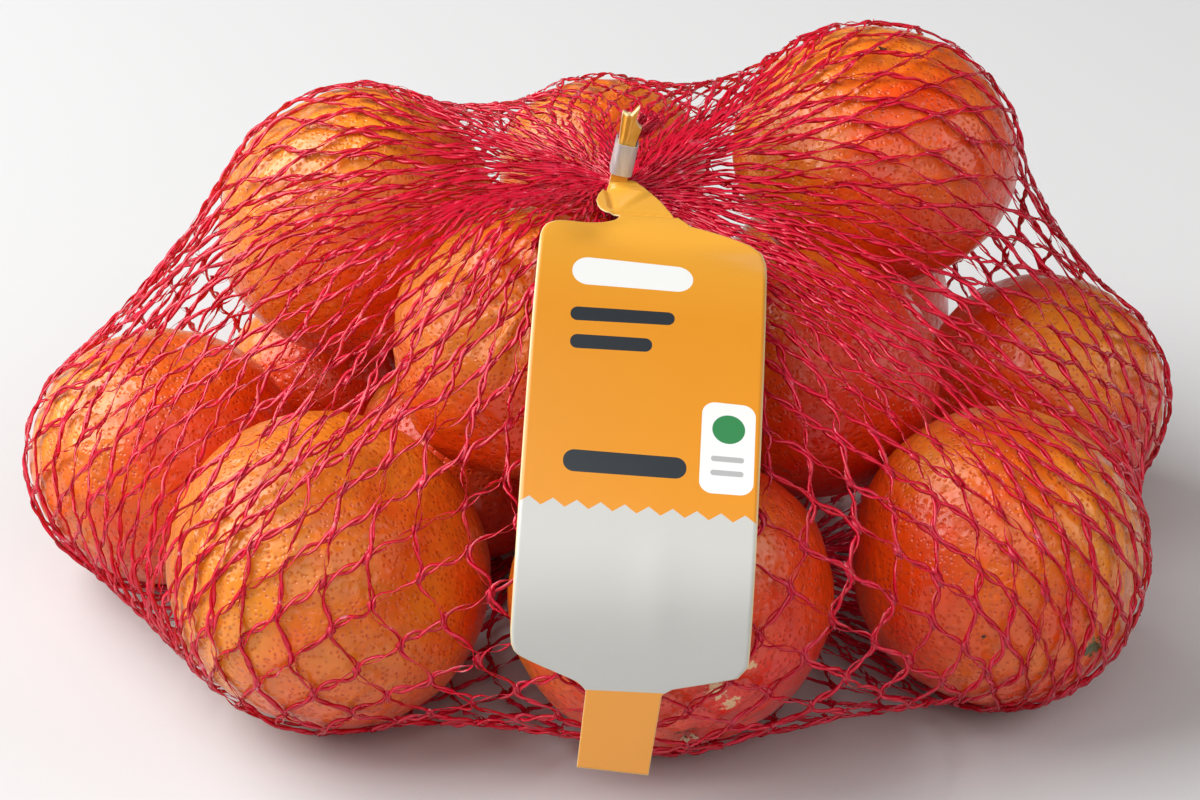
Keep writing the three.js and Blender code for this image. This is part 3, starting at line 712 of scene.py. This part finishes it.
def pull_net():
    """The knots of a loose tube net, pulled tight over the fruit by the cords between them."""
    i = np.arange(DOWN + 1)[:, None]
    j = np.arange(ROUND)[None, :]
    turned = 2 * np.pi * (j + 0.5 * (i % 2)) / ROUND
    turned = turned - FORWARD * np.cos(turned)
    fall = np.pi * i / DOWN
    knots = np.stack([
        LOOSE_AT[0] + LOOSE_HALF[0] * np.sin(fall) * np.cos(turned),
        LOOSE_AT[1] + LOOSE_HALF[1] * np.sin(fall) * np.sin(turned),
        LOOSE_AT[2] + LOOSE_HALF[2] * np.cos(fall) + 0 * turned,
    ], -1)
    knots += RNG.normal(0, UNEVEN_PLACE, knots.shape)
    ring = [
        throat @ Vector((BUNDLE_HALF * math.cos(a), BUNDLE_BACK + BUNDLE_DEEP * math.sin(a), 0))
        for a in turned[0]
    ]
    ring = np.array([tuple(p) for p in ring])
    seam = SEAM_AT + np.stack([
        SEAM_HALF[0] * np.cos(turned[-1]), SEAM_HALF[1] * np.sin(turned[-1]), 0 * turned[-1]
    ], -1)
    lengths = SIDE * (1 + UNEVEN_SIDE * RNG.normal(size=(2, DOWN, ROUND)))
    for turn_count in range(ROUNDS):
        move = np.zeros_like(knots)
        weight = np.zeros(knots.shape[:2])
        for kind in (0, 1):
            below = knots[1:] if kind == 0 else partners(knots[1:])
            reach = below - knots[:-1]
            length = np.linalg.norm(reach, axis=-1)
            pull = np.where(length > lengths[kind], 1.0, SLACK_PULL)
            excess = length - REST * lengths[kind]
            step = (pull * excess / np.maximum(length, 1e-6) / 2)[..., None] * reach
            move[:-1] += step
            weight[:-1] += pull
            move[1:] -= step if kind == 0 else back_to_knots(step)
            weight[1:] += pull if kind == 0 else back_to_knots(pull)
        knots += OVERSHOOT * move / np.maximum(weight, 1)[..., None]
        beside = (np.roll(knots, 1, axis=1) + np.roll(knots, -1, axis=1)) / 2
        knots += EVEN_OUT * (beside - knots)
        across, deep, high = knots[..., 0], knots[..., 1], knots[..., 2]
        loose = np.clip((SPREAD_TOP - high) / SPREAD_FADE, 0, 1) * np.clip(high / SPREAD_FOOT, 0, 1)
        loose *= np.clip(-deep / SPREAD_DEPTH, 0, 1)
        across += SPREAD * loose * across * np.clip(1 - (across / SPREAD_SIDE) ** 2, 0, 1)
        if turn_count % 3 == 0:
            keep_under_film(knots, 1.1)
        push_out(knots, GAP, 0.7, smooth=BRIDGE[turn_count >= ROUNDS - SETTLING])
        knots[0], knots[-1] = ring, seam
    return knots


film_spots = np.concatenate([front[i, ::6] for i in range(0, len(stations), 3)])
film_outs = np.concatenate([
    np.repeat([film_at(stations[i])[2] if stations[i] > 0 else throat_out], len(front[i, ::6]), 0)
    for i in range(0, len(stations), 3)
])


def keep_under_film(points, gap, reach=5.0):
    """What runs under the label's film stays that far below it."""
    flat = points.reshape(-1, 3)
    near = np.nonzero((flat[:, 1] < 2) & (np.abs(flat[:, 0] - 5) < 32) & (flat[:, 2] > 8))[0]
    for chunk in np.array_split(near, max(len(near) // 4000, 1)):
        p = flat[chunk]
        squares = (p**2).sum(1)[:, None] + (film_spots**2).sum(1)[None, :] - 2 * p @ film_spots.T
        nearest = squares.argmin(1)
        offset = p - film_spots[nearest]
        out = film_outs[nearest]
        over = (offset * out).sum(1)
        aside = np.linalg.norm(offset - over[:, None] * out, axis=1)
        lift = np.where((aside < reach) & (over + gap > 0), over + gap, 0)
        flat[chunk] = p - lift[:, None] * out
    points[:] = flat.reshape(points.shape)


knots = pull_net()


def knot_frames():
    """At each knot: the direction down the net and the direction to its side."""
    down = np.empty_like(knots)
    below = (knots[1:] + partners(knots[1:])) / 2
    above = (knots[:-1] + back_to_knots(knots[:-1])) / 2
    down[0], down[-1] = below[0] - knots[0], knots[-1] - above[-1]
    down[1:-1] = below[1:] - above[:-1]
    down = unit_rows(down)
    aside = np.roll(knots, -1, axis=1) - np.roll(knots, 1, axis=1)
    aside = unit_rows(aside - (aside * down).sum(-1, keepdims=True) * down)
    return down, aside


knot_down, knot_side = knot_frames()
# at a knot two cords run side by side for this half length, this far from its middle
KNOT_HALF, KNOT_APART = 1.4, 0.42


def cord_route(kind, column):
    """One knitted cord from the clip down to the gather under the bag, as a zigzag of points."""
    route = []
    for i in range(DOWN + 1):
        if kind == 0:
            j, hand = column, 1 if i % 2 == 0 else -1
        else:
            j, hand = (column, -1) if i % 2 == 0 else ((column - 1) % ROUND, 1)
        middle = knots[i, j] + knot_side[i, j] * hand * KNOT_APART
        reach = knot_down[i, j] * KNOT_HALF
        route += [middle - reach, middle + reach] if 0 < i < DOWN else [middle]
    return np.array(tuft_end() + route)


def tuft_end():
    """Where a cord runs through the clip and ends above it, from its end down."""
    turned, out = RNG.uniform(0, 2 * np.pi), math.sqrt(RNG.uniform(0, 1))
    x, y = 1.35 * out * math.cos(turned), 0.95 + 1.15 * out * math.sin(turned)
    lean, long = RNG.uniform(0.5, 1.5), RNG.uniform(2.2, 5.2)
    top = CLIP_BOTTOM + CLIP_LENGTH
    spots = [
        (1.5 * x + 0.85 * lean * long, 1.4 * y + 0.45 * long, top + long),
        (1.2 * x + 0.3 * lean * long, 1.2 * y + 0.15 * long, top + 0.5 * long),
        (x, y, top), (x, y, CLIP_BOTTOM),
    ]
    return [np.array(throat @ Vector(spot)) for spot in spots]


def smooth_route(route):
    """The route with rounded corners, at steps of about a millimetre."""
    fine = []
    for k in range(len(route) - 1):
        steps = 6 if k % 2 == 0 else 3
        before = route[max(k - 1, 0)]
        after = route[min(k + 2, len(route) - 1)]
        t = (np.arange(steps) / steps)[:, None]
        a, b = route[k], route[k + 1]
        curve = 0.5 * (
            2 * a + (b - before) * t + (2 * before - 5 * a + 4 * b - after) * t**2
            + (3 * a - before - 3 * b + after) * t**3
        )
        straight = a + (b - a) * t
        fine.append(0.45 * curve + 0.55 * straight)
    fine.append(route[-1:])
    return np.concatenate(fine)


routes = np.array([smooth_route(cord_route(kind, j)) for kind in (0, 1) for j in range(ROUND)])
push_out(routes, 0.5, 0.45)
keep_under_film(routes, 1.0, 2.0)
routes[:, 1:-1] = 0.25 * routes[:, :-2] + 0.5 * routes[:, 1:-1] + 0.25 * routes[:, 2:]

# a tape's half width and half thickness, the length of one turn round its cord, its way off the middle
TAPE_HALF, TAPE_THICK, WIND, APART = 0.37, 0.045, 9.0, 0.41
# middle and half sizes of the round form that says which side of a cord faces outwards
CORDS_AT, CORDS_HALF = (0, 5, 30), (116, 95, 60)


def tape_rings(route, phase, spin):
    """Cross-sections of one flat tape that winds round its cord's route."""
    ends = np.concatenate([route[:1], route, route[-1:]])
    along = unit_rows(ends[2:] - ends[:-2])
    length = steps_along(route)
    outward = unit_rows((route - CORDS_AT) / CORDS_HALF)
    side = unit_rows(np.cross(along, outward))
    lift = np.cross(side, along)
    angle = phase + 2 * np.pi * length / WIND + spin
    reach = APART * (1 + 0.5 * np.sin(1.7 * spin + 0.31 * length))[:, None]
    centre = route + reach * (np.cos(angle)[:, None] * side + 0.55 * np.sin(angle)[:, None] * lift)
    flat = 0.75 * np.sin(0.5 * angle + 2 * phase) + 1.3 * spin
    wide = np.cos(flat)[:, None] * side + np.sin(flat)[:, None] * lift
    thin = np.cross(wide, along)
    return np.stack([
        centre + wide * TAPE_HALF, centre + thin * TAPE_THICK,
        centre - wide * TAPE_HALF, centre - thin * TAPE_THICK,
    ], 1)


def net_material():
    """Glossy crimson tape that lets some light through, darker and lighter at random, with a few pale pink
    spots that are painted highlights.
    """
    material, graph, shader = new_material("net_tape")
    place = node(graph, "ShaderNodeTexCoord")
    tone_and_painted_glints = node(graph, "ShaderNodeTexNoise", in_Scale=330.0, in_Detail=3.0)
    link(graph, [(place.outputs["Object"], tone_and_painted_glints.inputs["Vector"])])
    # random crimson tone; the two palest stops are painted highlights, pale pink glints painted onto the
    # tape
    tone = ramp(graph, tone_and_painted_glints.outputs["Fac"], [
        (0.3, (0.74, 0.002, 0.028)), (0.58, (0.90, 0.008, 0.055)), (0.68, (0.92, 0.03, 0.10)),
        (0.76, (0.95, 0.34, 0.38)),
    ])
    link(graph, [(tone, shader.inputs["Base Color"])])
    shader.inputs["Roughness"].default_value = 0.24
    shader.inputs["Coat Weight"].default_value = 0.7
    shader.inputs["Coat Roughness"].default_value = 0.18
    through = node(graph, "ShaderNodeBsdfTranslucent")
    both = node(graph, "ShaderNodeMixShader", in_Fac=0.35)
    link(graph, [
        (tone, through.inputs["Color"]),
        (shader.outputs["BSDF"], both.inputs[1]),
        (through.outputs["BSDF"], both.inputs[2]),
        (both.outputs["Shader"], graph.nodes["Material Output"].inputs["Surface"]),
    ])
    return material


def add_cords(name, chosen, material):
    """The two tapes of every chosen cord, joined in one mesh."""
    rings = []
    for route in chosen:
        wander = np.cumsum(RNG.normal(0, 0.10, len(route)))
        wander -= np.linspace(0, wander[-1], len(route))
        start = RNG.uniform(0, 2 * np.pi)
        for strand in (0, 1):
            rings.append(tape_rings(route, start + np.pi * strand, wander))
    rings = np.array(rings)
    rings[..., 2] = np.maximum(rings[..., 2], 0.05)
    count, length = rings.shape[:2]
    index = np.arange(count * length * 4).reshape(count, length, 4)
    quads = []
    for a in range(4):
        b = (a + 1) % 4
        quads.append(np.stack([
            index[:, :-1, a], index[:, 1:, a], index[:, 1:, b], index[:, :-1, b]
        ], -1).reshape(-1, 4))
    caps = np.concatenate([index[:, 0, :], index[:, -1, ::-1]])
    faces = np.concatenate(quads + [caps])
    mesh = bpy.data.meshes.new(name)
    mesh.from_pydata(rings.reshape(-1, 3) * MM, [], faces.tolist())
    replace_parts(show_mesh(name, mesh, material), "net")


tape = net_material()
PARTS = 4
for part in range(PARTS):
    add_cords(f"net_cords_{part + 1}", routes[part::PARTS], tape)

# Knots: where two cords are knitted together, the film of their tapes is fused into a small flat
# lens, paler and clearer than the cords. Its half length, half width and half thickness in mm:
KNOT_FILM = (1.9, 0.85, 0.1)
knot_film, knot_graph, knot_shader = new_material("knot_film")
knot_shader.inputs["Base Color"].default_value = (0.88, 0.035, 0.09, 1)
knot_shader.inputs["Roughness"].default_value = 0.3
knot_shader.inputs["Coat Weight"].default_value = 0.6
clear = node(knot_graph, "ShaderNodeBsdfTransparent", in_Color=(1.0, 0.35, 0.4, 1))
thin_film = node(knot_graph, "ShaderNodeMixShader")
patchy = node(knot_graph, "ShaderNodeTexNoise", in_Scale=350.0)
knot_place = node(knot_graph, "ShaderNodeTexCoord")
patches = ramp(knot_graph, patchy.outputs["Fac"], [(0.35, grey(0.1)), (0.65, grey(0.6))])
link(knot_graph, [
    (knot_place.outputs["Object"], patchy.inputs["Vector"]),
    (patches, thin_film.inputs[0]),
    (knot_shader.outputs["BSDF"], thin_film.inputs[1]),
    (clear.outputs["BSDF"], thin_film.inputs[2]),
    (thin_film.outputs["Shader"], knot_graph.nodes["Material Output"].inputs["Surface"]),
])
shown = slice(3, DOWN - 1)
at, down, side = (v[shown].reshape(-1, 3) for v in (knots, knot_down, knot_side))
out = unit_rows(np.cross(side, down))
size = RNG.uniform(0.7, 1.25, (2, len(at), 1))
lens = np.stack([
    at + down * KNOT_FILM[0] * size[0], at + side * KNOT_FILM[1] * size[1],
    at - down * KNOT_FILM[0] * size[0], at - side * KNOT_FILM[1] * size[1],
    at + out * KNOT_FILM[2], at - out * KNOT_FILM[2],
], 1)
corner = np.arange(len(at))[:, None] * 6
lens_faces = np.concatenate([corner + np.array(f) for f in (
    (0, 1, 4), (1, 2, 4), (2, 3, 4), (3, 0, 4), (1, 0, 5), (2, 1, 5), (3, 2, 5), (0, 3, 5)
)])
lens_mesh = bpy.data.meshes.new("net_knots")
lens_mesh.from_pydata(lens.reshape(-1, 3) * MM, [], lens_faces.tolist())
knot_bm = bmesh.new()
knot_bm.from_mesh(lens_mesh)
bmesh.ops.recalc_face_normals(knot_bm, faces=knot_bm.faces)
bpy.data.meshes.remove(lens_mesh)
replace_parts(add_piece("net_knots", knot_bm, knot_film), "net")

# Clip: a strip of aluminium that a machine crimps into a flattened ring round the gathered cords
# and the film. It is dull with faint streaks, and holds by its grip alone.
clip_metal, clip_graph, clip_shader = new_material("clip_metal")
brushed = node(clip_graph, "ShaderNodeTexNoise", in_Scale=300.0, in_Detail=3.0)
stretched = node(clip_graph, "ShaderNodeMapping", in_Scale=(4.0, 4.0, 0.4))
clip_place = node(clip_graph, "ShaderNodeTexCoord")
clip_tone = ramp(clip_graph, brushed.outputs["Fac"], [(0.3, grey(0.46)), (0.7, grey(0.66))])
link(clip_graph, [
    (clip_place.outputs["Object"], stretched.inputs["Vector"]),
    (stretched.outputs["Vector"], brushed.inputs["Vector"]),
    (clip_tone, clip_shader.inputs["Base Color"]),
])
clip_shader.inputs["Metallic"].default_value = 0.35
clip_shader.inputs["Roughness"].default_value = 0.4
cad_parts["clip"].data.materials.clear()
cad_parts["clip"].data.materials.append(clip_metal)

# Studio: a pale floor, a large soft light high on the left, weaker ones in front and on the right.
floor_material, _, floor_shader = new_material("floor_paper")
floor_shader.inputs["Base Color"].default_value = (0.62, 0.62, 0.62, 1)
floor_shader.inputs["Roughness"].default_value = 0.9
floor_bm = bmesh.new()
bmesh.ops.create_grid(floor_bm, x_segments=1, y_segments=1, size=6.0)
floor_mesh = bpy.data.meshes.new("floor")
floor_bm.to_mesh(floor_mesh)
floor_bm.free()
floor_mesh.materials.append(floor_material)
floor = bpy.data.objects.new("floor", floor_mesh)
bpy.context.scene.collection.objects.link(floor)

world = bpy.data.worlds.new("studio")
world.use_nodes = True
world.node_tree.nodes["Background"].inputs["Color"].default_value = (1, 1, 1, 1)
world.node_tree.nodes["Background"].inputs["Strength"].default_value = 0.12
bpy.context.scene.world = world
bpy.context.scene.view_settings.view_transform = "Standard"


def soft_light(name, place, aim, size, power):
    light = bpy.data.lights.new(name, "AREA")
    light.shape = "RECTANGLE"
    light.size, light.size_y = size
    light.energy = power
    made = bpy.data.objects.new(name, light)
    made.location = place
    made.rotation_euler = (Vector(aim) - Vector(place)).to_track_quat("-Z", "Y").to_euler()
    bpy.context.scene.collection.objects.link(made)


soft_light("key_light", (-1.0, 0.1, 1.0), (0, 0, 0.04), (1.5, 1.3), 36.0)
soft_light("front_light", (0.1, -1.0, 1.1), (0, 0, 0.04), (1.6, 1.2), 8.0)
soft_light("right_light", (1.0, -0.1, 0.6), (0, 0, 0.04), (0.7, 0.7), 3.0)

camera_data = bpy.data.cameras.new("camera")
camera_data.lens = 90.0
camera_data.sensor_width = 36.0
camera_data.clip_start = 0.01
camera = bpy.data.objects.new("camera", camera_data)
camera.location = (-0.0018, -0.5185, 0.336)
camera.rotation_euler = (math.radians(60), 0, 0)
bpy.context.scene.collection.objects.link(camera)
bpy.context.scene.camera = camera
